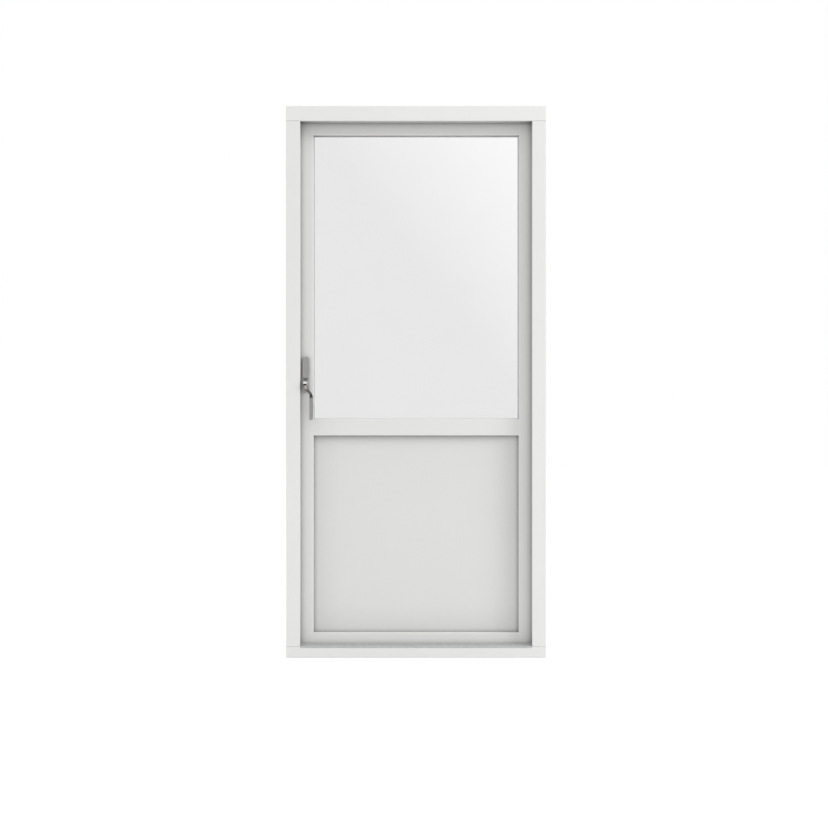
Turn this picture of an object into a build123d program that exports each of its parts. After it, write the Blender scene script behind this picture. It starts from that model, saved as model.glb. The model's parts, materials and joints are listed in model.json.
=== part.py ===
from build123d import *
import os

# A glazed patio door: a timber frame with a sill and an aluminium threshold, and one leaf that opens
# outwards on three side-hung hinges. The leaf holds sealed double glazing above a recessed panel and
# carries a lever handle inside.
# Sizes are in millimetres. The origin is the middle of the sill's underside. +X is to the right seen
# from inside, +Y points outdoors and +Z is up. The handle is on the -X side and the hinges on the +X side.

# frame
FRAME_WIDTH = 980.0
FRAME_HEIGHT = 2080.0
FRAME_DEPTH = 105.0
JAMB_FACE = 53.0
HEAD_FACE = 57.0
REBATE_STEP = 17.0
REBATE_DEPTH = 63.0
FRAME_ARRIS = 2.0

# sill and threshold
TREAD_HEIGHT = 43.0
STOP_RISE = 4.0
STOP_LAND = 14.5
REBATE_FLOOR_HEIGHT = 33.0
SILL_NOSE_HEIGHT = 24.0
THRESHOLD_WALL = 2.0
THRESHOLD_LIP = 5.0
THRESHOLD_OVERHANG = 8.0
THRESHOLD_DRIP = 9.0
DRIP_GROOVE_WIDTH = 6.0
DRIP_GROOVE_DEPTH = 4.0
DRIP_GROOVE_INSET = 10.0
LIP_EASING = 1.2

# leaf
EDGE_GAP = 5.0
FACE_GAP = 5.0
LEAF_THICKNESS = 56.0
LEAF_BOTTOM_HEIGHT = 40.0
LOCK_EDGE_BEVEL = 2.5
STILE_WIDTH = 59.5
TOP_RAIL_HEIGHT = 56.0
BOTTOM_RAIL_HEIGHT = 49.5
MID_RAIL_BOTTOM = 837.0
MID_RAIL_HEIGHT = 64.5
LEAF_ARRIS = 2.0
MOULD_RADIUS = 3.0

# glazing rebate and what stands in it
LIP_THICKNESS = 16.0
LIP_WIDTH = 15.0
FILLING_CLEARANCE = 3.0
INNER_GASKET = 3.0
PANE_THICKNESS = 4.0
PANE_CAVITY = 16.0
OUTER_GASKET = 1.5
GASKET_OVERLAP = 5.0
GASKET_LINE = 1.0
SPACER_INSET = 2.0
SPACER_WIDTH = 7.0
BEAD_SLOPE_RUN = 10.0
BEAD_SLOPE_DROP = 4.0
BOARD_THICKNESS = 6.0
PANEL_EDGING = 20.0

# weatherstrip on the stop
STRIP_WIDTH = 6.0
STRIP_MARGIN = 2.0
STRIP_CLEARANCE = 0.3
STRIP_ROUND = 2.5
KERF_WIDTH = 2.5
KERF_DEPTH = 7.0

# hinges
HINGE_FROM_TOP = 295.0
HINGE_FROM_BOTTOM = 255.0
HINGE_LENGTH = 100.0
HINGE_PLATE = 3.0
HINGE_PLATE_DEPTH = 32.5
HINGE_AXIS_OUT = 8.5
KNUCKLE_RADIUS = 7.5
KNUCKLE_GAP = 0.3
KNUCKLE_RELIEF = 0.5
PIN_RADIUS = 4.0
PIN_CLEARANCE = 0.05
PIN_CAP_RADIUS = 6.0
PIN_CAP_HEIGHT = 3.0

# lock side ironmongery
BOLT_FROM_TOP = 340.0
BOLT_FROM_BOTTOM = 300.0
STRIKE_LENGTH = 120.0
STRIKE_WIDTH = 25.0
STRIKE_THICKNESS = 3.0
STRIKE_INSET = 18.5
SLOT_LENGTH = 44.0
SLOT_WIDTH = 13.0
SLOT_POCKET = 12.0
FACEPLATE_WIDTH = 20.0
FACEPLATE_THICKNESS = 3.0
FACEPLATE_END_GAP = 100.0

# adjustable fixing sleeves through the jambs
LOW_SLEEVE_FROM_BOTTOM = 160.0
MID_SLEEVE_FROM_BOTTOM = 745.0
MID_SLEEVE_FROM_TOP = 755.0
HIGH_SLEEVE_FROM_TOP = 222.0
SLEEVE_RADIUS = 11.0
SLEEVE_BORE_RADIUS = 4.0
SLEEVE_PROUD = 3.0
SLEEVE_INSET = 30.5

# drip rail outside, at the foot of the leaf
DRIP_RAIL_END_GAP = 9.0
DRIP_RAIL_RISE = 14.0
DRIP_RAIL_HEIGHT = 30.0
DRIP_RAIL_REACH = 24.0
DRIP_RAIL_WALL = 2.0
DRIP_RAIL_FALL = 16.0
DRIP_RAIL_LIP = 8.0

# handle
SPINDLE_LEVEL = 1035.0
SPINDLE_BACKSET = 31.0
SPINDLE_SIDE = 8.0
SPINDLE_REACH = 30.0
SPINDLE_HOLE_RADIUS = 8.0
SPINDLE_HOLE_DEPTH = 36.0
BACKPLATE_WIDTH = 28.0
BACKPLATE_BELOW = 32.0
BACKPLATE_ABOVE = 101.0
BACKPLATE_THICKNESS = 2.5
HOUSING_THICKNESS = 10.5
COVER_THICKNESS = 12.0
COVER_SPLIT_ABOVE = 15.0
COVER_SPLIT_GAP = 1.5
HOUSING_MARGIN = 1.0
HOUSING_SIDE_SLOPE = 1.5
HOUSING_END_SLOPE = 3.0
PLATE_CORNER = 5.0
HUB_RADIUS = 6.5
HUB_CLEARANCE = 0.1
HUB_ENGAGEMENT = 6.0
LEVER_HEAD_REACH = 46.0
LEVER_HEAD_RADIUS = 8.5
LEVER_HEAD_WIDTH = 13.0
LEVER_HEAD_GAP = 1.5
LEVER_HEAD_SLOPE = 6.0
LEVER_HEAD_CHIN = 4.5
NECK_WIDTH = 8.5
NECK_DEPTH = 8.0
NECK_BEVEL = 0.8
NECK_SETBACK = 10.0
NECK_START = 18.0
NECK_BEND = 16.0
GRIP_SHIFT = 22.0
GRIP_RETREAT = 10.0
GRIP_TOP_DROP = 44.0
GRIP_END_DROP = 139.0
GRIP_WIDTH = 13.0
GRIP_BULGE = 1.5
GRIP_THICKNESS = 11.0
GRIP_SHOULDER = 3.5
GRIP_CORNER = 4.0
GRIP_EDGE = 1.2

# places worked out from the sizes above
FRAME_SIDE = FRAME_WIDTH / 2
FRAME_IN = -FRAME_DEPTH / 2
FRAME_OUT = FRAME_DEPTH / 2
OPENING_SIDE = FRAME_SIDE - JAMB_FACE
OPENING_TOP = FRAME_HEIGHT - HEAD_FACE
REBATE_SIDE = OPENING_SIDE + REBATE_STEP
REBATE_TOP = OPENING_TOP + REBATE_STEP
STOP_Y = FRAME_OUT - REBATE_DEPTH
LEAF_SIDE = REBATE_SIDE - EDGE_GAP
LEAF_TOP = REBATE_TOP - EDGE_GAP
LEAF_IN = STOP_Y + FACE_GAP
LEAF_OUT = LEAF_IN + LEAF_THICKNESS
DAYLIGHT_SIDE = LEAF_SIDE - STILE_WIDTH
LIP_BACK = LEAF_IN + LIP_THICKNESS
INNER_PANE_IN = LIP_BACK + INNER_GASKET
OUTER_PANE_IN = INNER_PANE_IN + PANE_THICKNESS + PANE_CAVITY
FILLING_OUT = OUTER_PANE_IN + PANE_THICKNESS
BEAD_IN = FILLING_OUT + OUTER_GASKET
HINGE_X = (LEAF_SIDE + REBATE_SIDE) / 2
HINGE_Y = FRAME_OUT + HINGE_AXIS_OUT
HINGE_MORTISE_IN = FRAME_OUT - HINGE_PLATE_DEPTH
SLEEVE_Y = FRAME_OUT - SLEEVE_INSET
HINGE_TOP_LEVEL = FRAME_HEIGHT - HINGE_FROM_TOP
HINGE_LEVELS = {
    "top": HINGE_TOP_LEVEL,
    "middle": (HINGE_TOP_LEVEL + HINGE_FROM_BOTTOM) / 2,
    "bottom": HINGE_FROM_BOTTOM,
}
LEAF_KNUCKLE_LENGTH = (HINGE_LENGTH - 2 * KNUCKLE_GAP) / 3
BOLT_LEVELS = {
    "top": FRAME_HEIGHT - BOLT_FROM_TOP,
    "middle": SPINDLE_LEVEL,
    "bottom": BOLT_FROM_BOTTOM,
}
SLEEVE_LEVELS = [
    LOW_SLEEVE_FROM_BOTTOM,
    MID_SLEEVE_FROM_BOTTOM,
    FRAME_HEIGHT - MID_SLEEVE_FROM_TOP,
    FRAME_HEIGHT - HIGH_SLEEVE_FROM_TOP,
]
SPINDLE_X = -LEAF_SIDE + SPINDLE_BACKSET
BACKPLATE_FACE = LEAF_IN - BACKPLATE_THICKNESS
HOUSING_FACE = BACKPLATE_FACE - HOUSING_THICKNESS
LEVER_FRONT = HOUSING_FACE - LEVER_HEAD_REACH
NECK_Y = LEVER_FRONT + NECK_SETBACK
STOP_TOP = TREAD_HEIGHT + STOP_RISE + THRESHOLD_WALL
PAST = 10.0


def block(x0, x1, y0, y1, z0, z1):
    """A box between two corners."""
    return Pos((x0 + x1) / 2, (y0 + y1) / 2, (z0 + z1) / 2) * Box(x1 - x0, y1 - y0, z1 - z0)


def run_across(section, x0, x1):
    """A (y, z) outline extruded along X."""
    face = make_face(Polyline(*section, close=True))
    return Pos(x0, 0, 0) * extrude(Plane.YZ * face, x1 - x0)


def run_up(section, z0, z1):
    """An (x, y) outline extruded along Z."""
    face = make_face(Polyline(*section, close=True))
    return Pos(0, 0, z0) * extrude(face, z1 - z0)


def run_out(section, y0, y1):
    """An (x, z) outline extruded along Y."""
    face = make_face(Polyline(*section, close=True))
    return Pos(0, y0, 0) * extrude(Plane.XZ * face, y0 - y1)


class Window:
    """An upright rectangle in the leaf, seen from inside."""

    def __init__(self, side, bottom, top):
        self.side, self.bottom, self.top = side, bottom, top

    def grown(self, margin):
        return Window(self.side + margin, self.bottom - margin, self.top + margin)

    def slab(self, y0, y1):
        return block(-self.side, self.side, y0, y1, self.bottom, self.top)

    def ring(self, inner_margin, outer_margin, y0, y1):
        hole = self.grown(inner_margin).slab(y0 - PAST, y1 + PAST)
        return self.grown(outer_margin).slab(y0, y1) - hole


GLASS_DAYLIGHT = Window(DAYLIGHT_SIDE, MID_RAIL_BOTTOM + MID_RAIL_HEIGHT, LEAF_TOP - TOP_RAIL_HEIGHT)
PANEL_DAYLIGHT = Window(DAYLIGHT_SIDE, LEAF_BOTTOM_HEIGHT + BOTTOM_RAIL_HEIGHT, MID_RAIL_BOTTOM)
LEAF_OUTLINE = Window(LEAF_SIDE, LEAF_BOTTOM_HEIGHT, LEAF_TOP)


def soften(edges):
    """Rounds the frame's outer edges, as they are sanded before painting."""
    return fillet(edges, FRAME_ARRIS)


def rim(piece, axis, end):
    """The edges of the piece's first or last face along an axis."""
    return piece.faces().sort_by(axis)[end].edges()


# Frame

def head_section():
    return [
        (FRAME_IN, OPENING_TOP),
        (STOP_Y, OPENING_TOP),
        (STOP_Y, REBATE_TOP),
        (FRAME_OUT, REBATE_TOP),
        (FRAME_OUT, FRAME_HEIGHT),
        (FRAME_IN, FRAME_HEIGHT),
    ]


def floor_height(y):
    """Height of the sill's sloping rebate floor at a depth y."""
    start = STOP_Y - THRESHOLD_WALL
    fall = (REBATE_FLOOR_HEIGHT - SILL_NOSE_HEIGHT) / (FRAME_OUT - start)
    return REBATE_FLOOR_HEIGHT - (y - start) * fall


def sill_section():
    step_y = STOP_Y - STOP_LAND
    return [
        (FRAME_IN, 0),
        (FRAME_IN, TREAD_HEIGHT),
        (step_y, TREAD_HEIGHT),
        (step_y, TREAD_HEIGHT + STOP_RISE),
        (STOP_Y - THRESHOLD_WALL, TREAD_HEIGHT + STOP_RISE),
        (STOP_Y - THRESHOLD_WALL, REBATE_FLOOR_HEIGHT),
        (FRAME_OUT, SILL_NOSE_HEIGHT),
        (FRAME_OUT, 0),
    ]


def strip_kerf():
    """The groove for the weatherstrip's stem, round the head and down both jambs."""
    outline = LEAF_OUTLINE.grown(-STRIP_MARGIN)
    middle = -STRIP_WIDTH / 2
    groove = outline.ring(middle - KERF_WIDTH / 2, middle + KERF_WIDTH / 2, STOP_Y - KERF_DEPTH, STOP_Y)
    return groove & block(-FRAME_SIDE, FRAME_SIDE, FRAME_IN, FRAME_OUT, STOP_TOP, FRAME_HEIGHT)


def frame_head():
    head = run_across(head_section(), -FRAME_SIDE, FRAME_SIDE)
    top_ends = rim(head, Axis.Z, -1).filter_by(Axis.Y)
    head = soften(rim(head, Axis.Y, 0) + rim(head, Axis.Y, -1).filter_by(Axis.X) + top_ends)
    return head - strip_kerf()


def frame_sill():
    sill = run_across(sill_section(), -FRAME_SIDE, FRAME_SIDE)
    bottom_ends = rim(sill, Axis.Z, 0).filter_by(Axis.Y)
    sill = soften(rim(sill, Axis.Y, 0) + rim(sill, Axis.Y, -1).filter_by(Axis.X) + bottom_ends)
    lip_bottom = TREAD_HEIGHT - THRESHOLD_LIP
    sill -= block(
        -OPENING_SIDE, OPENING_SIDE, FRAME_IN - PAST, FRAME_IN + THRESHOLD_WALL,
        lip_bottom, TREAD_HEIGHT + PAST,
    )
    front_runs = sill.edges().filter_by(Axis.X).filter_by_position(Axis.Z, lip_bottom, lip_bottom)
    sill = fillet(front_runs.sort_by(Axis.Y)[0], LIP_EASING)
    groove_out = FRAME_OUT - DRIP_GROOVE_INSET
    return sill - block(
        -FRAME_SIDE - PAST, FRAME_SIDE + PAST, groove_out - DRIP_GROOVE_WIDTH, groove_out,
        -PAST, DRIP_GROOVE_DEPTH,
    )


def frame_jamb(side):
    """One jamb: side is -1 for the lock side and 1 for the hinge side."""
    section = [
        (side * FRAME_SIDE, FRAME_IN),
        (side * OPENING_SIDE, FRAME_IN),
        (side * OPENING_SIDE, STOP_Y),
        (side * REBATE_SIDE, STOP_Y),
        (side * REBATE_SIDE, FRAME_OUT),
        (side * FRAME_SIDE, FRAME_OUT),
    ]
    jamb = run_up(section, 0, FRAME_HEIGHT)
    jamb = soften(rim(jamb, Axis.Y, 0).filter_by(Axis.Z) + rim(jamb, Axis.Y, -1).filter_by(Axis.Z))
    jamb -= run_across(sill_section(), -FRAME_SIDE - PAST, FRAME_SIDE + PAST)
    jamb -= run_across(head_section(), -FRAME_SIDE - PAST, FRAME_SIDE + PAST)
    jamb -= strip_kerf()
    for level in SLEEVE_LEVELS:
        jamb -= sleeve_rod(side, level, SLEEVE_RADIUS, PAST)
    return jamb


def lock_jamb():
    jamb = frame_jamb(-1)
    for level in BOLT_LEVELS.values():
        jamb -= strike_blank(level)
        jamb -= bolt_slot(level, -REBATE_SIDE - SLOT_POCKET, -REBATE_SIDE + PAST)
    return jamb


def hinge_jamb():
    jamb = frame_jamb(1)
    for level in HINGE_LEVELS.values():
        jamb -= block(
            REBATE_SIDE - PAST, REBATE_SIDE + HINGE_PLATE, HINGE_MORTISE_IN, FRAME_OUT + PAST,
            level - HINGE_LENGTH / 2, level + HINGE_LENGTH / 2,
        )
    return jamb


def threshold_profile():
    """The aluminium cover of the sill: front lip, tread, stop, sloping floor and drip nose."""
    wall = THRESHOLD_WALL
    step_y = STOP_Y - STOP_LAND
    nose = FRAME_OUT + THRESHOLD_OVERHANG
    section = [
        (FRAME_IN, TREAD_HEIGHT - THRESHOLD_LIP),
        (FRAME_IN, TREAD_HEIGHT + wall),
        (step_y - wall, TREAD_HEIGHT + wall),
        (step_y - wall, STOP_TOP),
        (STOP_Y, STOP_TOP),
        (STOP_Y, floor_height(STOP_Y) + wall),
        (nose, floor_height(nose) + wall),
        (nose, floor_height(nose) - THRESHOLD_DRIP),
        (nose - wall, floor_height(nose) - THRESHOLD_DRIP),
        (nose - wall, floor_height(nose - wall)),
        (STOP_Y - wall, REBATE_FLOOR_HEIGHT),
        (STOP_Y - wall, STOP_TOP - wall),
        (step_y, STOP_TOP - wall),
        (step_y, TREAD_HEIGHT),
        (FRAME_IN + wall, TREAD_HEIGHT),
        (FRAME_IN + wall, TREAD_HEIGHT - THRESHOLD_LIP),
    ]
    cover = run_across(section, -REBATE_SIDE, REBATE_SIDE)
    for side in (-1, 1):
        x0, x1 = sorted((side * OPENING_SIDE, side * (REBATE_SIDE + PAST)))
        cover -= block(x0, x1, FRAME_IN - PAST, STOP_Y, 0, FRAME_HEIGHT)
    return cover


def frame_weatherstrip():
    """A rounded strip all round the stop, with a stem in the kerf."""
    outline = LEAF_OUTLINE.grown(-STRIP_MARGIN)
    height = FACE_GAP - STRIP_CLEARANCE
    strip = outline.ring(-STRIP_WIDTH, 0, STOP_Y, STOP_Y + height)
    return fillet(rim(strip, Axis.Y, -1), STRIP_ROUND) + strip_kerf()


# Fixing sleeves

def sleeve_rod(side, level, radius, spare):
    """A round rod through one jamb, with its ends a distance past the sleeve's."""
    inner = REBATE_SIDE - spare
    outer = FRAME_SIDE + SLEEVE_PROUD + spare
    x0 = side * inner if side > 0 else side * outer
    plane = Plane(origin=(x0, SLEEVE_Y, level), z_dir=(1, 0, 0))
    return extrude(plane * Circle(radius), outer - inner)


def fixing_sleeves():
    sleeves = []
    for side in (-1, 1):
        for level in SLEEVE_LEVELS:
            rod = sleeve_rod(side, level, SLEEVE_RADIUS, 0)
            sleeves.append(rod - sleeve_rod(side, level, SLEEVE_BORE_RADIUS, PAST))
    return Compound(children=sleeves)


# Hinges

def hinge_bore(level):
    return Pos(HINGE_X, HINGE_Y, level) * Cylinder(PIN_RADIUS + PIN_CLEARANCE, HINGE_LENGTH + PAST)


def knuckle(z0, z1):
    return Pos(HINGE_X, HINGE_Y, (z0 + z1) / 2) * Cylinder(KNUCKLE_RADIUS, z1 - z0)


def hinge_flap(x0, x1, level, bands):
    """A hinge plate in its mortise, reaching out to the knuckles only in the given bands of height."""
    relief_y = HINGE_Y - KNUCKLE_RADIUS - KNUCKLE_RELIEF
    half = HINGE_LENGTH / 2
    flap = block(x0, x1, HINGE_MORTISE_IN, relief_y, level - half, level + half)
    for z0, z1 in bands:
        flap += block(x0, x1, relief_y, HINGE_Y, level + z0, level + z1)
        flap += knuckle(level + z0, level + z1)
    return flap - hinge_bore(level)


def hinge_leaf_plate(level):
    half = LEAF_KNUCKLE_LENGTH / 2
    return hinge_flap(LEAF_SIDE - HINGE_PLATE, LEAF_SIDE, level, [(-half, half)])


def hinge_frame_plate(level):
    inner = LEAF_KNUCKLE_LENGTH / 2 + KNUCKLE_GAP
    outer = HINGE_LENGTH / 2
    bands = [(-outer, -inner), (inner, outer)]
    return hinge_flap(REBATE_SIDE, REBATE_SIDE + HINGE_PLATE, level, bands)


def hinge_pin(level):
    """The pin through the knuckles, which hangs by the cap on its upper end."""
    cap = Pos(0, 0, (HINGE_LENGTH + PIN_CAP_HEIGHT) / 2) * Cylinder(PIN_CAP_RADIUS, PIN_CAP_HEIGHT)
    return Pos(HINGE_X, HINGE_Y, level) * (Cylinder(PIN_RADIUS, HINGE_LENGTH) + cap)


# Lock side

def lock_edge_x(y):
    """X of the leaf's bevelled lock edge at a depth y."""
    return -LEAF_SIDE + LOCK_EDGE_BEVEL * (LEAF_OUT - y) / LEAF_THICKNESS


def strike_blank(level):
    y1 = FRAME_OUT - STRIKE_INSET
    return block(
        -REBATE_SIDE - STRIKE_THICKNESS, -REBATE_SIDE, y1 - STRIKE_WIDTH, y1,
        level - STRIKE_LENGTH / 2, level + STRIKE_LENGTH / 2,
    )


def bolt_slot(level, x0, x1):
    """The slot that a bolt passes through, in the strike plates and the faceplate alike."""
    y = FRAME_OUT - STRIKE_INSET - STRIKE_WIDTH / 2
    return block(
        x0, x1, y - SLOT_WIDTH / 2, y + SLOT_WIDTH / 2, level - SLOT_LENGTH / 2, level + SLOT_LENGTH / 2
    )


def strike_plate(level):
    return strike_blank(level) - bolt_slot(level, -FRAME_SIDE, -LEAF_SIDE)


def faceplate_blank():
    y = FRAME_OUT - STRIKE_INSET - STRIKE_WIDTH / 2
    y0, y1 = y - FACEPLATE_WIDTH / 2, y + FACEPLATE_WIDTH / 2
    section = [
        (lock_edge_x(y0), y0),
        (lock_edge_x(y0) + FACEPLATE_THICKNESS, y0),
        (lock_edge_x(y1) + FACEPLATE_THICKNESS, y1),
        (lock_edge_x(y1), y1),
    ]
    return run_up(section, LEAF_BOTTOM_HEIGHT + FACEPLATE_END_GAP, LEAF_TOP - FACEPLATE_END_GAP)


def lock_faceplate():
    plate = faceplate_blank()
    for level in BOLT_LEVELS.values():
        plate -= bolt_slot(level, -REBATE_SIDE, -LEAF_SIDE + SLOT_POCKET)
    return plate


# Leaf timber

def leaf_timber():
    """All the leaf's timber in one, before it is parted into stiles and rails."""
    plan = [
        (lock_edge_x(LEAF_IN), LEAF_IN),
        (LEAF_SIDE, LEAF_IN),
        (LEAF_SIDE, LEAF_OUT),
        (lock_edge_x(LEAF_OUT), LEAF_OUT),
    ]
    timber = run_up(plan, LEAF_BOTTOM_HEIGHT, LEAF_TOP)
    timber = fillet(timber.faces().sort_by(Axis.Y)[-1].edges(), LEAF_ARRIS)
    for daylight in (GLASS_DAYLIGHT, PANEL_DAYLIGHT):
        timber -= daylight.slab(LEAF_IN - PAST, LEAF_OUT + PAST)
        timber -= daylight.grown(LIP_WIDTH).slab(LIP_BACK, LEAF_OUT + PAST)
    front = timber.faces().sort_by(Axis.Y)[0]
    return fillet([edge for wire in front.inner_wires() for edge in wire.edges()], MOULD_RADIUS)


def leaf_part(timber, x0, x1, z0, z1):
    """The leaf's timber between two widths and two heights."""
    return timber & block(x0, x1, LEAF_IN - PAST, LEAF_OUT + PAST, z0, z1)


def stile_lock(timber):
    stile = leaf_part(timber, -LEAF_SIDE - PAST, -DAYLIGHT_SIDE, 0, FRAME_HEIGHT)
    stile -= faceplate_blank()
    for level in BOLT_LEVELS.values():
        stile -= bolt_slot(level, -REBATE_SIDE, -LEAF_SIDE + SLOT_POCKET)
    hole = Circle(SPINDLE_HOLE_RADIUS)
    return stile - run_spindle(hole, LEAF_IN - PAST, LEAF_IN + SPINDLE_HOLE_DEPTH)


def stile_hinge(timber):
    stile = leaf_part(timber, DAYLIGHT_SIDE, LEAF_SIDE + PAST, 0, FRAME_HEIGHT)
    for level in HINGE_LEVELS.values():
        stile -= block(
            LEAF_SIDE - HINGE_PLATE, LEAF_SIDE + PAST, HINGE_MORTISE_IN, LEAF_OUT + PAST,
            level - HINGE_LENGTH / 2, level + HINGE_LENGTH / 2,
        )
    return stile


def rail(timber, z0, z1):
    return leaf_part(timber, -DAYLIGHT_SIDE, DAYLIGHT_SIDE, z0, z1)


# Glazing and panel

def pane(y0):
    size = GLASS_DAYLIGHT.grown(LIP_WIDTH - FILLING_CLEARANCE)
    return size.slab(y0, y0 + PANE_THICKNESS)


def glass_spacer():
    outer = LIP_WIDTH - FILLING_CLEARANCE - SPACER_INSET
    y0 = INNER_PANE_IN + PANE_THICKNESS
    return GLASS_DAYLIGHT.ring(outer - SPACER_WIDTH, outer, y0, y0 + PANE_CAVITY)


def glazing_gasket(y0, y1):
    return GLASS_DAYLIGHT.ring(-GASKET_LINE, GASKET_OVERLAP, y0, y1)


def beads(daylight):
    """Four mitred beads that hold a filling from outside, sloped on their outer faces."""
    frame = daylight.ring(0, LIP_WIDTH, BEAD_IN, LEAF_OUT)
    inner_rim = frame.faces().sort_by(Axis.Y)[-1].inner_wires()[0].edges()
    frame = chamfer(inner_rim, BEAD_SLOPE_RUN, BEAD_SLOPE_DROP, reference=frame.faces().sort_by(Axis.Y)[-1])
    inner, outer = daylight, daylight.grown(LIP_WIDTH)
    left_in, left_out = (-inner.side, inner.bottom, inner.top), (-outer.side, outer.bottom, outer.top)
    right_in, right_out = (inner.side, inner.bottom, inner.top), (outer.side, outer.bottom, outer.top)
    mitres = {
        "lock_side": [left_in[::2], left_out[::2], left_out[:2], left_in[:2]],
        "hinge_side": [right_in[::2], right_out[::2], right_out[:2], right_in[:2]],
        "top": [left_in[::2], left_out[::2], right_out[::2], right_in[::2]],
        "bottom": [left_in[:2], left_out[:2], right_out[:2], right_in[:2]],
    }
    return {
        name: frame & run_out(outline, BEAD_IN - PAST, LEAF_OUT + PAST)
        for name, outline in mitres.items()
    }


def panel_inner_board():
    """The panel's inner board with the edging that spaces it from the outer one."""
    size = PANEL_DAYLIGHT.grown(LIP_WIDTH - FILLING_CLEARANCE)
    back = BEAD_IN - BOARD_THICKNESS
    pocket = size.grown(-PANEL_EDGING).slab(LIP_BACK + BOARD_THICKNESS, back + PAST)
    return size.slab(LIP_BACK, back) - pocket


def panel_outer_board():
    size = PANEL_DAYLIGHT.grown(LIP_WIDTH - FILLING_CLEARANCE)
    return size.slab(BEAD_IN - BOARD_THICKNESS, BEAD_IN)


def drip_rail():
    wall = DRIP_RAIL_WALL
    bottom = LEAF_BOTTOM_HEIGHT + DRIP_RAIL_RISE
    top = bottom + DRIP_RAIL_HEIGHT
    nose = LEAF_OUT + DRIP_RAIL_REACH
    nose_top = top - DRIP_RAIL_FALL
    section = [
        (LEAF_OUT, bottom),
        (LEAF_OUT, top),
        (nose, nose_top),
        (nose, nose_top - DRIP_RAIL_LIP),
        (nose - wall, nose_top - DRIP_RAIL_LIP),
        (nose - wall, nose_top - wall),
        (LEAF_OUT + wall, top - 2 * wall),
        (LEAF_OUT + wall, bottom),
    ]
    end = LEAF_SIDE - DRIP_RAIL_END_GAP
    return run_across(section, -end, end)


# Handle

def run_spindle(sketch, y0, y1):
    """A sketch centred on the spindle, extruded from y0 outwards to y1."""
    plane = Plane(origin=(SPINDLE_X, y0, SPINDLE_LEVEL), x_dir=(1, 0, 0), z_dir=(0, 1, 0))
    return extrude(plane * sketch, y1 - y0)


def room_plane(y, level):
    """An upright plane over the spindle that faces the room."""
    return Plane(origin=(SPINDLE_X, y, level), x_dir=(1, 0, 0), z_dir=(0, -1, 0))


def plate_outline(width, length):
    return chamfer(Rectangle(width, length).vertices(), PLATE_CORNER)


def handle_tablet(z0, z1, thickness):
    """A block with cut corners on the base plate, whose sides slope in towards the room."""
    plane = room_plane(BACKPLATE_FACE, (z0 + z1) / 2)
    width, length = BACKPLATE_WIDTH - 2 * HOUSING_MARGIN, z1 - z0
    foot = plate_outline(width, length)
    crown = plate_outline(width - 2 * HOUSING_SIDE_SLOPE, length - 2 * HOUSING_END_SLOPE)
    return loft([plane * foot, plane * Pos(0, 0, thickness) * crown], ruled=True)


def handle_backplate():
    """The base plate, and on its lower end the housing that the lever's hub turns in."""
    z0, z1 = SPINDLE_LEVEL - BACKPLATE_BELOW, SPINDLE_LEVEL + BACKPLATE_ABOVE
    base = room_plane(LEAF_IN, (z0 + z1) / 2) * plate_outline(BACKPLATE_WIDTH, z1 - z0)
    plate = extrude(base, BACKPLATE_THICKNESS)
    plate += handle_tablet(z0 + HOUSING_MARGIN, SPINDLE_LEVEL + COVER_SPLIT_ABOVE, HOUSING_THICKNESS)
    return plate - run_spindle(Circle(HUB_RADIUS + HUB_CLEARANCE), HOUSING_FACE - PAST, LEAF_IN + PAST)


def handle_cover():
    """The cap over the plate's upper end."""
    z0 = SPINDLE_LEVEL + COVER_SPLIT_ABOVE + COVER_SPLIT_GAP
    return handle_tablet(z0, SPINDLE_LEVEL + BACKPLATE_ABOVE - HOUSING_MARGIN, COVER_THICKNESS)


def handle_spindle():
    return run_spindle(Rectangle(SPINDLE_SIDE, SPINDLE_SIDE), NECK_Y, LEAF_IN + SPINDLE_REACH)


def lever_head():
    """The lever's head, whose front rolls back towards its top, and the hub that turns in the housing."""
    hub_back, head_back = HOUSING_FACE + HUB_ENGAGEMENT, HOUSING_FACE - LEVER_HEAD_GAP
    brow = (LEVER_FRONT + LEVER_HEAD_SLOPE, LEVER_HEAD_RADIUS)
    chin = (LEVER_FRONT, -LEVER_HEAD_CHIN)
    side = Polyline(
        brow,
        (head_back, LEVER_HEAD_RADIUS),
        (head_back, -LEVER_HEAD_RADIUS),
        (LEVER_FRONT, -LEVER_HEAD_RADIUS),
        chin,
    )
    side += TangentArc(chin, brow, tangent=(0, 1))
    bar = extrude(Plane.YZ * make_face(side), LEVER_HEAD_WIDTH)
    bar = Pos(SPINDLE_X - LEVER_HEAD_WIDTH / 2, 0, SPINDLE_LEVEL) * bar
    rounded = bar & run_spindle(Circle(LEVER_HEAD_RADIUS), LEVER_FRONT, head_back)
    return rounded + run_spindle(Circle(HUB_RADIUS), head_back, hub_back)


def lever_neck():
    """A bar with eased edges that bends sideways and back towards the leaf, from the head to the grip."""
    start = (SPINDLE_X, NECK_Y, SPINDLE_LEVEL)
    plane = Plane(origin=start, x_dir=(GRIP_SHIFT, GRIP_RETREAT, 0), z_dir=(GRIP_RETREAT, -GRIP_SHIFT, 0))
    reach = (GRIP_SHIFT**2 + GRIP_RETREAT**2) ** 0.5
    path = plane * FilletPolyline(
        (0, 0),
        (0, -NECK_START),
        (reach, -NECK_START - reach),
        (reach, -GRIP_TOP_DROP - NECK_BEND),
        radius=NECK_BEND,
    )
    section = chamfer(Rectangle(NECK_WIDTH, NECK_DEPTH).vertices(), NECK_BEVEL)
    return sweep(Plane(origin=path @ 0, x_dir=plane.x_dir, z_dir=path % 0) * section, path)


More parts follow.
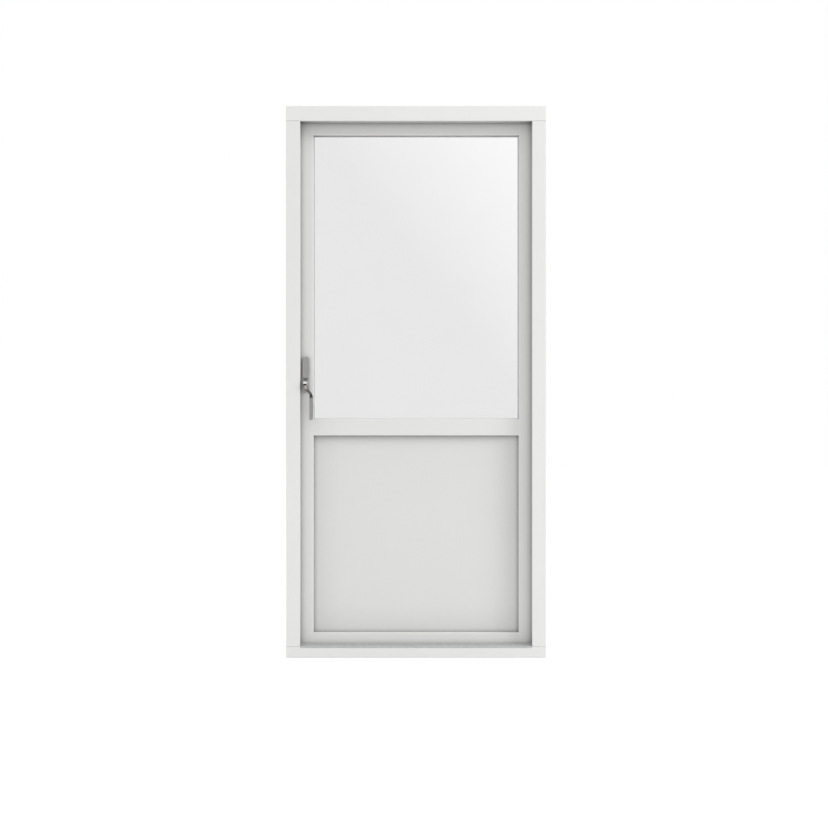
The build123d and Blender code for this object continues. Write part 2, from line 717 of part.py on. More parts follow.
def lever_grip():
    """The flat grip, fuller on the side away from the jamb and narrowed to the neck above."""
    half = GRIP_WIDTH / 2
    top, end = -GRIP_TOP_DROP, -GRIP_END_DROP
    shoulder = top - GRIP_SHOULDER
    outline = Polyline(
        (half, end),
        (-half, end),
        (-half, shoulder),
        (GRIP_SHOULDER - half, top),
        (half - GRIP_SHOULDER, top),
        (half, shoulder),
    )
    outline += ThreePointArc((half, shoulder), (half + GRIP_BULGE, (shoulder + end) / 2), (half, end))
    face = make_face(outline)
    face = fillet(face.vertices().group_by(Axis.Y)[0], GRIP_CORNER)
    plane = room_plane(NECK_Y + GRIP_RETREAT, SPINDLE_LEVEL) * Pos(GRIP_SHIFT, 0, -GRIP_THICKNESS / 2)
    grip = extrude(plane * face, GRIP_THICKNESS)
    return chamfer(rim(grip, Axis.Y, 0) + rim(grip, Axis.Y, -1), GRIP_EDGE)


def handle_lever():
    """A head and a cranked grip that hangs down beside the plate."""
    return lever_head() + lever_neck() + lever_grip() - handle_spindle()


def build_nodes():
    """Every node of the door, by name."""
    timber = leaf_timber()
    nodes = {
        "frame_head": frame_head(),
        "frame_jamb_lock_side": lock_jamb(),
        "frame_jamb_hinge_side": hinge_jamb(),
        "frame_sill": frame_sill(),
        "threshold_profile": threshold_profile(),
        "frame_weatherstrip": frame_weatherstrip(),
        "fixing_sleeves": fixing_sleeves(),
        "leaf_stile_lock_side": stile_lock(timber),
        "leaf_stile_hinge_side": stile_hinge(timber),
        "leaf_top_rail": rail(timber, GLASS_DAYLIGHT.top, LEAF_TOP),
        "leaf_mid_rail": rail(timber, PANEL_DAYLIGHT.top, GLASS_DAYLIGHT.bottom),
        "leaf_bottom_rail": rail(timber, LEAF_BOTTOM_HEIGHT, PANEL_DAYLIGHT.bottom),
        "glass_inner_pane": pane(INNER_PANE_IN),
        "glass_outer_pane": pane(OUTER_PANE_IN),
        "glass_spacer_bar": glass_spacer(),
        "glazing_gasket_inner": glazing_gasket(LIP_BACK, INNER_PANE_IN),
        "glazing_gasket_outer": glazing_gasket(FILLING_OUT, BEAD_IN),
        "panel_inner_board": panel_inner_board(),
        "panel_outer_board": panel_outer_board(),
        "drip_rail": drip_rail(),
        "lock_faceplate": lock_faceplate(),
        "handle_backplate": handle_backplate(),
        "handle_cover": handle_cover(),
        "handle_lever": handle_lever(),
        "handle_spindle": handle_spindle(),
    }
    for name, bead in beads(GLASS_DAYLIGHT).items():
        nodes[f"glass_bead_{name}"] = bead
    for name, bead in beads(PANEL_DAYLIGHT).items():
        nodes[f"panel_bead_{name}"] = bead
    for name, level in HINGE_LEVELS.items():
        nodes[f"hinge_{name}_frame_plate"] = hinge_frame_plate(level)
        nodes[f"hinge_{name}_leaf_plate"] = hinge_leaf_plate(level)
        nodes[f"hinge_{name}_pin"] = hinge_pin(level)
    for name, level in BOLT_LEVELS.items():
        nodes[f"strike_plate_{name}"] = strike_plate(level)
    return nodes


os.makedirs("parts", exist_ok=True)
for node, shape in build_nodes().items():
    export_step(shape, f"parts/{node}.step")
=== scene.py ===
import json
import math

import bmesh
import bpy
from mathutils import Matrix, Vector

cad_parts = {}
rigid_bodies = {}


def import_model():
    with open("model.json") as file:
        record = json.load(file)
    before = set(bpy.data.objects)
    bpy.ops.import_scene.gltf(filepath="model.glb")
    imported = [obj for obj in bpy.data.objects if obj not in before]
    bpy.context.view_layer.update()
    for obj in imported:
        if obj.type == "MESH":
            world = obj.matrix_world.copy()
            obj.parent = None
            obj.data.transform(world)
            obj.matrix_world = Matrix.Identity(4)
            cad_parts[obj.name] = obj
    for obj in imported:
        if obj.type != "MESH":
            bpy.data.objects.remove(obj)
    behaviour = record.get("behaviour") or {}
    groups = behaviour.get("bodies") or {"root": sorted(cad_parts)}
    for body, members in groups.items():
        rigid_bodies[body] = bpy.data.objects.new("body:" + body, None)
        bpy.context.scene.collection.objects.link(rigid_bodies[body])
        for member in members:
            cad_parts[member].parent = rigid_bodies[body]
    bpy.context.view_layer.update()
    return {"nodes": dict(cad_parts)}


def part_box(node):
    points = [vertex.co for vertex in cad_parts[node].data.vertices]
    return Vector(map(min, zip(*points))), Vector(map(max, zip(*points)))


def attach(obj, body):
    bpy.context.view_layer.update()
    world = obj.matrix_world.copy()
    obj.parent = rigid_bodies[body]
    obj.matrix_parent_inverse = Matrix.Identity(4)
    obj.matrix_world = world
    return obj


# Looks of the glazed patio door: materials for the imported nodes, the small fasteners that the solids
# leave out, light, floor and camera. Lengths are in metres, in the frame's own axes.

for leftover in list(bpy.data.objects):
    bpy.data.objects.remove(leftover)
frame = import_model()

# camera: it stands level in front of the room side, a little left of the middle
CAMERA_X = -0.008
CAMERA_HEIGHT = 0.919
CAMERA_DISTANCE = 5.632
CAMERA_LENS = 65.0

# light: an even white sky above the horizon, and a soft key lamp to the right of the room side
AMBIENT = 0.955
KEY_POWER = 300.0
KEY_SIZE = 2.5
KEY_DISTANCE = 9.0
KEY_AZIMUTH = 65.0
KEY_ELEVATION = 36.0
KEY_AIM = Vector((0.0, 0.0, 1.05))

# floor: the camera sees it as white as the background
FLOOR_HALF = 20.0
FLOOR_GLOW = 0.42
FLOOR_PALE = (0.76, 0.76, 0.76)
FLOOR_DULL = (0.74, 0.74, 0.74)

# the room that glass and metal mirror: dark below a slanting line, a white band above it, a dim ceiling
ROOM_SLANT = Vector((1.31, 0.13, 1.0))
ROOM_START, ROOM_END = -0.016, 0.099
ROOM_DARK = 0.03
ROOM_LIGHT = 1.3
CEILING_START, CEILING_END = 0.40, 0.62
CEILING_LIGHT = 0.08

# colours, linear
WHITE = (1.0, 1.0, 1.0, 1.0)
BLACK = (0.0, 0.0, 0.0)
PAINT = (0.83, 0.832, 0.812)
RUBBER = (0.55, 0.55, 0.545)
STRIP_RUBBER = (0.22, 0.22, 0.215)
ALUMINIUM = (0.62, 0.63, 0.63)
SPACER = (0.70, 0.70, 0.69)
ZINC = (0.52, 0.52, 0.51)
YELLOW_ZINC = (0.55, 0.50, 0.38)
NICKEL = (0.66, 0.655, 0.64)
DARK_STEEL = (0.18, 0.18, 0.18)
GLASS_TINT = (0.965, 0.966, 0.965)

# paint: how light each part's copy of the one white paint is, with the recessed leaf and panel made darker
# as painted shade; its clouds; its edges, lighter from wear and a painted highlight; painted shade in its
# creases and hollows; its gloss
HEAD_TONE, JAMB_TONE, SILL_TONE = 1.0, 0.98, 0.98
STILE_TONE, RAIL_TONE, BOARD_TONE = 0.96, 0.938, 0.895
CLOUD_SHADE = 0.97
EDGE_WEAR_AND_HIGHLIGHT = 1.07
CREASE_REACH, HOLLOW_REACH = 0.02, 0.15
HEAD_CREASE_SHADE, FRAME_CREASE_SHADE, LEAF_CREASE_SHADE, BOARD_CREASE_SHADE = (0.6, 0.95), (0.1, 0.95), (0.3, 0.2), (0.3, 0.7)
PAINT_GLOSS, BOARD_GLOSS = 0.36, 0.30
BOARD_GRIT = 0.35

# marks along a piece: noise cycles per metre across and along it
BRUSH_MARKS = (900.0, 14.0)
WOOD_GRAIN = (160.0, 5.0)
DRAWN_LINES = (2600.0, 30.0)

# the lever's finish, which changes at these depths below its top; the neck's darker colour is a painted dark
# reflection
GRIP_ROUGHNESS = 0.30
HEAD_ROUGHNESS = 0.10
POLISH_START, POLISH_END = 0.0685, 0.0535
NECK_START, NECK_END = 0.0335, 0.0275
NECK_DARK_REFLECTION = 0.3

# screws
SCREW_RADIUS = 0.0042
SCREW_RISE = 0.00025
SCREW_SINK = 0.0012
SCREW_SEGMENTS = 36
RECESS_RADIUS = 0.0020
RECESS_LOBE = 0.0005
RECESS_DEPTH = 0.0010
HINGE_GAP = 0.0025
HINGE_SCREW_LEVELS = (-0.039, -0.015, 0.015, 0.039)
HINGE_SCREW_INSETS = (0.009, 0.022)
STRIKE_SCREW_OFFSET = 0.046
FACEPLATE_THICKNESS = 0.003
FACEPLATE_END = 0.012
FACEPLATE_SLOT_OFFSET = 0.040

# bolt noses and the turned tops of the hinge pins
BOLT_HALF = (0.004, 0.005, 0.0195)
BOLT_SINK = 0.0015
BOLT_ROUND = 0.0022
PIN_CAP_RADIUS = 0.006
FINIAL_RISE = 0.0016
FINIAL_SINK = 0.0004
FINIAL_SEGMENTS = 32

# fixing sleeves
SLEEVE_PROUD = 0.003
SLEEVE_RADIUS = 0.011
SLEEVE_BORE = 0.004
SLEEVE_END_DEPTH = 0.0001
THREAD_RISE = 0.0004
THREAD_PITCH = 0.0010
THREAD_SEGMENTS = 40
SOCKET_RADIUS = 0.0034
SOCKET_LENGTH = 0.006
SOCKET_START = 0.0006
SOCKET_RIM_START, SOCKET_RIM_END = 0.0008, 0.0003
SOCKET_SEGMENTS = 36

# heads of the pins through the outside beads
BEAD_PIN_RADIUS = 0.0016
BEAD_PIN_RISE = 0.0003
BEAD_PIN_SINK = 0.0006
BEAD_PIN_SPACING = 0.24
BEAD_PIN_END = 0.055
BEAD_PIN_INSET = 0.0035
BEAD_PIN_SEGMENTS = 16

SHARP_ANGLE = math.radians(32)
LEVELS = ("top", "middle", "bottom")


# Materials

def add_node(tree, kind, inputs=(), **settings):
    """A new node, with each of the inputs set to a constant or linked to another node's output."""
    made = tree.nodes.new(kind)
    for key, value in settings.items():
        setattr(made, key, value)
    for key, value in dict(inputs).items():
        if isinstance(value, bpy.types.NodeSocket):
            tree.links.new(value, made.inputs[key])
        else:
            made.inputs[key].default_value = value
    return made


def tinted(colour, share):
    """A colour made darker or lighter by a factor, at most white."""
    return tuple(min(1.0, value * share) for value in colour)


def along(axis, fine, coarse):
    """A noise scale that is coarse along one axis and fine across it."""
    return tuple(coarse if name == axis else fine for name in "XYZ")


class Shader:
    """A material and short calls for the nodes that this scene uses."""

    def __init__(self, name):
        self.material = bpy.data.materials.new(name)
        self.material.use_nodes = True
        self.tree = self.material.node_tree
        self.surface = self.tree.nodes["Principled BSDF"]

    def node(self, kind, inputs=(), **settings):
        return add_node(self.tree, kind, inputs, **settings)

    def plug(self, name, value):
        """Sets one of the surface's inputs, to a constant or to another node's output."""
        if isinstance(value, bpy.types.NodeSocket):
            self.tree.links.new(value, self.surface.inputs[name])
        else:
            self.surface.inputs[name].default_value = value

    def place(self):
        """The point on the piece, in the piece's own axes."""
        return self.node("ShaderNodeTexCoord").outputs["Object"]

    def noise(self, scale, detail=3.0, roughness=0.5, offset=0.0):
        """Noise over the object. The scale is in cycles per metre, one for all axes or one for each."""
        scales = scale if isinstance(scale, tuple) else (scale, scale, scale)
        stretched = self.node("ShaderNodeMapping", {
            "Vector": self.place(), "Scale": scales, "Location": (offset, offset, offset),
        })
        return self.node("ShaderNodeTexNoise", {
            "Vector": stretched.outputs["Vector"], "Scale": 1.0, "Detail": detail, "Roughness": roughness,
        }).outputs["Fac"]

    def spread(self, value, low, high, start=0.3, end=0.7):
        """A value's stretch from start to end, mapped to low to high."""
        return self.node("ShaderNodeMapRange", {
            "Value": value, "From Min": start, "From Max": end, "To Min": low, "To Max": high,
        }).outputs["Result"]

    def times(self, a, b):
        return self.node("ShaderNodeMath", {0: a, 1: b}, operation="MULTIPLY").outputs[0]

    def mix(self, factor, a, b):
        """A mix of two colours, each a constant or another node's output."""
        mixer = self.node("ShaderNodeMix", {"Factor": factor}, data_type="RGBA")
        for index, value in ((6, a), (7, b)):
            if isinstance(value, bpy.types.NodeSocket):
                self.tree.links.new(value, mixer.inputs[index])
            else:
                mixer.inputs[index].default_value = (*value, 1.0)
        return mixer.outputs[2]

    def edges(self, radius):
        """1 on edges and 0 on flat faces."""
        rounded = self.node("ShaderNodeBevel", {"Radius": radius}, samples=4).outputs["Normal"]
        normal = self.node("ShaderNodeNewGeometry").outputs["Normal"]
        flatness = self.node("ShaderNodeVectorMath", {0: rounded, 1: normal}, operation="DOT_PRODUCT")
        return self.spread(flatness.outputs["Value"], 1.0, 0.0, 0.9, 0.995)

    def rubbed(self, colour, patches, dull=0.88, pale=1.18, radius=0.0006, share=0.6):
        """A metal's colour, duller in patches and paler on its rubbed edges."""
        tone = self.mix(patches, colour, tinted(colour, dull))
        return self.mix(self.times(self.edges(radius), share), tone, tinted(colour, pale))

    def bump(self, layers):
        """Bumps one over the other, each a (height, strength, distance)."""
        normal = None
        for height, strength, distance in layers:
            inputs = {"Height": height, "Strength": strength, "Distance": distance}
            if normal is not None:
                inputs["Normal"] = normal
            normal = self.node("ShaderNodeBump", inputs).outputs["Normal"]
        self.plug("Normal", normal)


def paint(name, axis, tone, crease_shade, gloss=PAINT_GLOSS, grit=1.0):
    """White paint on timber: brush marks along the piece, a little grain, edges lighter from wear and a
    painted highlight, and painted shade in creases and hollows.
    """
    shader = Shader(name)
    # the one white paint, made darker by the part's tone on the recessed leaf and panel as painted shade
    fresh = tinted(PAINT, tone)
    brush = shader.noise(along(axis, *BRUSH_MARKS), 2.0)
    grain = shader.noise(along(axis, *WOOD_GRAIN), 4.0, 0.6, 3.0)
    cloud = shader.noise(2.5, 3.0, 0.6, 7.0)
    chips = shader.noise(220.0, 4.0, 0.7, 11.0)
    colour = shader.mix(shader.spread(cloud, 0.0, 0.7), fresh, tinted(fresh, CLOUD_SHADE))
    # edges lighter, partly paint wear and partly a painted highlight on the arrises
    worn_and_highlit = shader.times(shader.edges(0.0016), shader.spread(chips, 0.35, 1.0, 0.35, 0.75))
    colour = shader.mix(worn_and_highlit, colour, tinted(fresh, EDGE_WEAR_AND_HIGHLIGHT))
    # painted shade: the paint goes darker towards black where creases and hollows block the open sky
    for reach, depth in zip((CREASE_REACH, HOLLOW_REACH), crease_shade):
        open_share = shader.node("ShaderNodeAmbientOcclusion", {"Distance": reach}, samples=8).outputs["AO"]
        colour = shader.mix(shader.spread(open_share, depth, 0.0, 0.0, 1.0), colour, BLACK)
    shader.plug("Base Color", colour)
    shader.plug("Roughness", shader.spread(brush, gloss - 0.05 * grit, gloss + 0.07 * grit))
    shader.plug("Coat Weight", 0.08)
    shader.plug("Coat Roughness", 0.25)
    shader.bump([(grain, 0.12 * grit, 0.0004), (brush, 0.10 * grit, 0.0001)])
    return shader.material


def metal(name, colour, axis, rough, brushed=0.6, metallic=1.0):
    """Metal with fine drawn lines along an axis, faint stains and rubbed edges."""
    shader = Shader(name)
    lines = shader.noise(along(axis, *DRAWN_LINES), 2.0)
    stains = shader.noise(55.0, 4.0, 0.6, 5.0)
    shader.plug("Base Color", shader.rubbed(colour, shader.spread(stains, 0.0, 1.0)))
    shader.plug("Metallic", metallic)
    shader.plug("Roughness", shader.spread(lines, rough - 0.06, rough + 0.08))
    shader.bump([(lines, 0.10 * brushed, 0.00005), (stains, 0.05, 0.0001)])
    return shader.material


def lever_metal(name, colour):
    """The lever's nickel: brushed satin on the grip, polished above it, and darker on the neck as a painted
    dark reflection.
    """
    shader = Shader(name)
    lines = shader.noise(along("Z", *DRAWN_LINES), 2.0)
    stains = shader.noise(55.0, 4.0, 0.6, 5.0)
    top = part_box("handle_lever")[1].z
    level = shader.node("ShaderNodeSeparateXYZ", {"Vector": shader.place()}).outputs["Z"]
    polish = shader.spread(level, 0.0, 1.0, top - POLISH_START, top - POLISH_END)
    below_head = shader.spread(level, 1.0, 0.0, top - NECK_START, top - NECK_END)
    tone = shader.rubbed(colour, shader.spread(stains, 0.0, 0.6))
    # painted dark reflection: the neck's colour is darkened where the polished neck would mirror dark
    # surroundings
    neck = shader.times(polish, below_head)
    shader.plug("Base Color", shader.mix(neck, tone, tinted(colour, NECK_DARK_REFLECTION)))
    shader.plug("Metallic", 1.0)
    satin = shader.spread(lines, GRIP_ROUGHNESS - 0.05, GRIP_ROUGHNESS + 0.05)
    roughness = shader.node("ShaderNodeMix", {"Factor": polish, "A": satin, "B": HEAD_ROUGHNESS})
    shader.plug("Roughness", roughness.outputs[0])
    shader.bump([(lines, 0.04, 0.00005)])
    return shader.material


def plated(name, colour):
    """Zinc plate: a mottled satin with small pale and dark patches."""
    shader = Shader(name)
    patches = shader.node("ShaderNodeTexVoronoi", {"Vector": shader.place(), "Scale": 420.0})
    mottle = shader.node("ShaderNodeRGBToBW", {"Color": patches.outputs["Color"]}).outputs["Val"]
    stains = shader.noise(90.0, 4.0, 0.6, 2.0)
    mottled = shader.spread(mottle, 0.0, 0.5, 0.2, 0.8)
    shader.plug("Base Color", shader.rubbed(colour, mottled, dull=0.86, pale=1.15, radius=0.0005, share=0.5))
    shader.plug("Metallic", 1.0)
    shader.plug("Roughness", shader.spread(stains, 0.28, 0.46))
    shader.bump([(stains, 0.08, 0.0001)])
    return shader.material


def rubber(name, colour):
    """Extruded rubber: matt and finely pored, with a chalky bloom."""
    shader = Shader(name)
    bloom = shader.noise(40.0, 4.0, 0.6)
    pores = shader.noise(1500.0, 2.0, 0.5, 4.0)
    pale = tuple(value * 1.5 + 0.01 for value in colour)
    shader.plug("Base Color", shader.mix(shader.spread(bloom, 0.0, 0.6), colour, pale))
    shader.plug("Roughness", shader.spread(pores, 0.62, 0.78))
    shader.plug("Specular IOR Level", 0.35)
    shader.bump([(pores, 0.15, 0.0001)])
    return shader.material


def glass(name):
    """Clear float glass with the faintest uneven film of dust."""
    shader = Shader(name)
    film = shader.spread(shader.noise(9.0, 5.0, 0.65), 0.0, 1.0, 0.4, 0.8)
    shader.plug("Base Color", shader.mix(film, GLASS_TINT, tinted(GLASS_TINT, 0.995)))
    shader.plug("Roughness", 0.0)
    shader.plug("IOR", 1.5)
    shader.plug("Transmission Weight", 1.0)
    return shader.material


MATERIALS = {
    "jamb": paint("jamb_paint", "Z", JAMB_TONE, FRAME_CREASE_SHADE),
    "head": paint("head_paint", "X", HEAD_TONE, HEAD_CREASE_SHADE),
    "sill": paint("sill_paint", "X", SILL_TONE, FRAME_CREASE_SHADE),
    "leaf_upright": paint("leaf_upright", "Z", STILE_TONE, LEAF_CREASE_SHADE),
    "leaf_across": paint("leaf_across", "X", RAIL_TONE, LEAF_CREASE_SHADE),
    "board": paint("board", "Z", BOARD_TONE, BOARD_CREASE_SHADE, BOARD_GLOSS, BOARD_GRIT),
    "glass": glass("clear_glass"),
    "spacer": metal("spacer_metal", SPACER, "X", 0.45, 0.4, 0.3),
    "gasket": rubber("gasket_rubber", RUBBER),
    "strip": rubber("strip_rubber", STRIP_RUBBER),
    "threshold": metal("threshold_metal", ALUMINIUM, "X", 0.40, 0.6, 0.5),
    "hinge": plated("hinge_plate", ZINC),
    "lock": plated("lock_plate", ZINC),
    "nickel": metal("satin_nickel", NICKEL, "Z", 0.33, 0.2),
    "lever": lever_metal("lever_nickel", NICKEL),
    "sleeve": plated("sleeve_plate", YELLOW_ZINC),
    "screw": plated("screw_plate", ZINC),
    "dark_steel": metal("dark_steel", DARK_STEEL, "Z", 0.42),
}

NODE_LOOKS = {
    "frame_weatherstrip": "strip",
    "frame_jamb": "jamb",
    "frame_head": "head",
    "frame_sill": "sill",
    "leaf_stile": "leaf_upright",
    "leaf_": "leaf_across",
    "panel_bead_top": "leaf_across",
    "panel_bead_bottom": "leaf_across",
    "panel_bead": "leaf_upright",
    "panel_": "board",
    "glass_bead_top": "leaf_across",
    "glass_bead_bottom": "leaf_across",
    "glass_bead": "leaf_upright",
    "glass_spacer_bar": "spacer",
    "glass_": "glass",
    "glazing_gasket": "gasket",
    "threshold_profile": "threshold",
    "drip_rail": "threshold",
    "hinge_": "hinge",
    "handle_spindle": "lock",
    "handle_lever": "lever",
    "handle_": "nickel",
    "strike_plate": "lock",
    "lock_faceplate": "lock",
    "fixing_sleeves": "sleeve",
}


def look_of(node):
    """The look whose key is the longest beginning of the node's name."""
    key = max((start for start in NODE_LOOKS if node.startswith(start)), key=len)
    return MATERIALS[NODE_LOOKS[key]]


# The panes let light that bounces off other pieces pass, as real glass does.
for node_name, packed in frame["nodes"].items():
    for packed_slot in packed.material_slots:
        packed_slot.material = look_of(node_name)
    if look_of(node_name) is MATERIALS["glass"]:
        packed.visible_diffuse = False


# Mesh helpers

def finished(work, name):
    """The mesh that a bmesh holds, under a name."""
    mesh = bpy.data.meshes.new(name)
    work.to_mesh(mesh)
    work.free()
    return mesh


def place(name, mesh, look, body, matrix):
    """Adds a mesh to the scene as a piece that rides on a body."""
    piece = bpy.data.objects.new(name, mesh)
    bpy.context.scene.collection.objects.link(piece)
    mesh.materials.append(MATERIALS[look])
    mesh.shade_smooth()
    mesh.set_sharp_from_angle(angle=SHARP_ANGLE)
    piece.matrix_world = matrix
    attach(piece, body)


def facing(point, direction):
    """A matrix at a point whose Z axis looks in a direction."""
    turn = Vector(direction).to_track_quat("Z", "Y").to_matrix().to_4x4()
    return Matrix.Translation(point) @ turn


def ring_stack(name, rings, segments, closed=True):
    """A turned mesh from (radius, height) rings; a radius may be a function of the angle."""
    work = bmesh.new()
    loops = []
    for radius, height in rings:
        loop = []
        for step in range(segments):
            angle = 2 * math.pi * step / segments
            reach = radius(angle) if callable(radius) else radius
            loop.append(work.verts.new((reach * math.cos(angle), reach * math.sin(angle), height)))
        loops.append(loop)
    for lower, upper in zip(loops, loops[1:]):
        for step in range(segments):
            after = (step + 1) % segments
            work.faces.new((lower[step], lower[after], upper[after], upper[step]))
    if closed:
        work.faces.new(reversed(loops[0]))
        work.faces.new(loops[-1])
    bmesh.ops.recalc_face_normals(work, faces=work.faces)
    return finished(work, name)


def screw_mesh():
    """A countersunk head, slightly domed, with a six-lobed recess."""
    def lobes(angle):
        return RECESS_RADIUS + RECESS_LOBE * math.cos(6 * angle)

    return ring_stack("screw_head", [
        (SCREW_RADIUS * 0.72, -SCREW_SINK),
        (SCREW_RADIUS, 0.0),
        (SCREW_RADIUS * 0.93, SCREW_RISE * 0.6),
        (SCREW_RADIUS * 0.72, SCREW_RISE),
        (lobes, SCREW_RISE),
        (lambda angle: lobes(angle) * 0.88, -RECESS_DEPTH),
    ], SCREW_SEGMENTS)


def screws(prefix, points, direction, body):
    for index, point in enumerate(points):
        place(f"{prefix}_{index + 1}", screw_mesh(), "screw", body, facing(point, direction))


# Hinge screws and the turned tops of the pins

def hinge_details(level):
    pin_low, pin_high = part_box(f"hinge_{level}_pin")
    plate_low, plate_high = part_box(f"hinge_{level}_frame_plate")
    axis_x = (pin_low.x + pin_high.x) / 2
    axis_y = (pin_low.y + pin_high.y) / 2
    middle = (plate_low.z + plate_high.z) / 2
    spots = [
        (plate_low.y + HINGE_SCREW_INSETS[index % 2], middle + rise)
        for index, rise in enumerate(HINGE_SCREW_LEVELS)
    ]
    for body, side in (("frame", 1), ("leaf", -1)):
        points = [Vector((axis_x + side * HINGE_GAP, y, z)) for y, z in spots]
        screws(f"hinge_{level}_{body}_screw", points, (-side, 0, 0), body)
    finial = ring_stack(f"hinge_{level}_finial", [
        (PIN_CAP_RADIUS, -FINIAL_SINK),
        (PIN_CAP_RADIUS * 0.98, 0.0),
        (PIN_CAP_RADIUS * 0.80, FINIAL_RISE * 0.55),
        (PIN_CAP_RADIUS * 0.62, FINIAL_RISE * 0.6),
        (PIN_CAP_RADIUS * 0.45, FINIAL_RISE * 0.95),
        (PIN_CAP_RADIUS * 0.15, FINIAL_RISE),
    ], FINIAL_SEGMENTS)
    place(f"hinge_{level}_finial", finial, "hinge", "frame",
          facing(Vector((axis_x, axis_y, pin_high.z)), (0, 0, 1)))


# Lock side: screws in the strike plates and the faceplate, and the drawn-back bolts

def strike_details(level):
    """Screws of a strike plate. Returns the plate's middle, where its bolt works."""
    low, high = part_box(f"strike_plate_{level}")
    middle = (low + high) / 2
    points = [Vector((high.x, middle.y, middle.z + side * STRIKE_SCREW_OFFSET)) for side in (-1, 1)]
    screws(f"strike_{level}_screw", points, (1, 0, 0), "frame")
    return middle


def bolt_mesh(name):
    """A bolt's nose: a block with rounded edges, thinner towards its tip."""
    work = bmesh.new()
    bmesh.ops.create_cube(work, size=2.0)
    bmesh.ops.scale(work, vec=BOLT_HALF, verts=work.verts)
    for vertex in work.verts:
        if vertex.co.x < 0:
            vertex.co.y *= 0.82
            vertex.co.z *= 0.88
    bmesh.ops.bevel(work, geom=work.edges[:], offset=BOLT_ROUND, segments=4, affect="EDGES", profile=0.6)
    return finished(work, name)


def faceplate_details(bolt_levels):
    """Screws on the bevelled faceplate, and a bolt at each strike plate's level."""
    low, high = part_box("lock_faceplate")
    slant = high.x - low.x - FACEPLATE_THICKNESS
    face_x = low.x + slant / 2
    y = (low.y + high.y) / 2
    normal = Vector((-(high.y - low.y), -slant, 0.0)).normalized()
    levels = [low.z + FACEPLATE_END, high.z - FACEPLATE_END]
    for name, bolt in bolt_levels.items():
        levels += [bolt.z - FACEPLATE_SLOT_OFFSET, bolt.z + FACEPLATE_SLOT_OFFSET]
        nose = Matrix.Translation((face_x + BOLT_SINK + BOLT_HALF[0], bolt.y, bolt.z))
        place(f"bolt_{name}", bolt_mesh(f"bolt_{name}"), "dark_steel", "leaf", nose)
    points = [Vector((face_x, y, z)) for z in sorted(levels)]
    screws("faceplate_screw", points, normal, "leaf")


# Fixing sleeves: a thread on what stands out of the jambs, and key sockets in the bores

def sleeve_levels():
    """Heights of the sleeves' middles, read from their hinge-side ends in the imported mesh."""
    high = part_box("fixing_sleeves")[1]
    ends = sorted(
        vertex.co.z for vertex in frame["nodes"]["fixing_sleeves"].data.vertices
        if vertex.co.x > high.x - SLEEVE_END_DEPTH
    )
    groups = [[ends[0]]]
    for z in ends[1:]:
        if z - groups[-1][0] > 3 * SLEEVE_RADIUS:
            groups.append([])
        groups[-1].append(z)
    return [(group[0] + group[-1]) / 2 for group in groups]


def hexagon(angle):
    """The radius of the key socket's six sides at an angle."""
    sector = math.pi / 3
    return SOCKET_RADIUS * math.cos(sector / 2) / math.cos(angle % sector - sector / 2)


def sleeve_details():
    low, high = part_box("fixing_sleeves")
    y = (low.y + high.y) / 2
    thread = []
    for turn in range(int(SLEEVE_PROUD / THREAD_PITCH)):
        base = -SLEEVE_PROUD + turn * THREAD_PITCH
        thread += [
            (SLEEVE_RADIUS - THREAD_RISE, base + THREAD_PITCH * 0.1),
            (SLEEVE_RADIUS + THREAD_RISE, base + THREAD_PITCH * 0.5),
            (SLEEVE_RADIUS - THREAD_RISE, base + THREAD_PITCH * 0.9),
        ]
    socket = [
        (SLEEVE_BORE, -SOCKET_LENGTH),
        (SLEEVE_BORE, -SOCKET_RIM_START),
        (SLEEVE_BORE * 0.97, -SOCKET_RIM_END),
        (hexagon, -SOCKET_START),
        (hexagon, -SOCKET_LENGTH),
    ]
    parts = (("thread", thread, THREAD_SEGMENTS), ("socket", socket, SOCKET_SEGMENTS))
    for side, x in (("lock", low.x), ("hinge", high.x)):
        outward = (1 if x > 0 else -1, 0, 0)
        for index, level in enumerate(sleeve_levels()):
            spot = facing(Vector((x, y, level)), outward)
            for part, rings, segments in parts:
                name = f"sleeve_{side}_{index + 1}_{part}"
                mesh = ring_stack(name, rings, segments, closed=False)
                place(name, mesh, "sleeve", "frame", spot)


# Outside: pins that hold the glazing and panel beads

def pin_stops(start, end):
    """Even places along a bead, near the wanted spacing."""
    first, last = start + BEAD_PIN_END, end - BEAD_PIN_END
    count = max(2, round((last - first) / BEAD_PIN_SPACING) + 1)
    step = (last - first) / (count - 1)
    return [first + step * index for index in range(count)]


def bead_pins(filling):
    left, left_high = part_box(f"{filling}_bead_lock_side")
    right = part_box(f"{filling}_bead_hinge_side")[1]
    bottom, top = left.z + BEAD_PIN_INSET, right.z - BEAD_PIN_INSET
    x_left, x_right = left.x + BEAD_PIN_INSET, right.x - BEAD_PIN_INSET
    spots = [(x, z) for z in (bottom, top) for x in pin_stops(x_left, x_right)]
    spots += [(x, z) for x in (x_left, x_right) for z in pin_stops(bottom, top)]
    for index, (x, z) in enumerate(spots):
        pin = ring_stack(f"{filling}_pin", [
            (BEAD_PIN_RADIUS, -BEAD_PIN_SINK),
            (BEAD_PIN_RADIUS, 0.0),
            (BEAD_PIN_RADIUS * 0.7, BEAD_PIN_RISE * 0.8),
            (BEAD_PIN_RADIUS * 0.2, BEAD_PIN_RISE),
        ], BEAD_PIN_SEGMENTS)
        place(f"{filling}_bead_pin_{index + 1}", pin, "leaf_upright", "leaf",
              facing(Vector((x, left_high.y, z)), (0, 1, 0)))


for hinge_level in LEVELS:
    hinge_details(hinge_level)
faceplate_details({level: strike_details(level) for level in LEVELS})
sleeve_details()
bead_pins("glass")
bead_pins("panel")


# Floor, light and camera

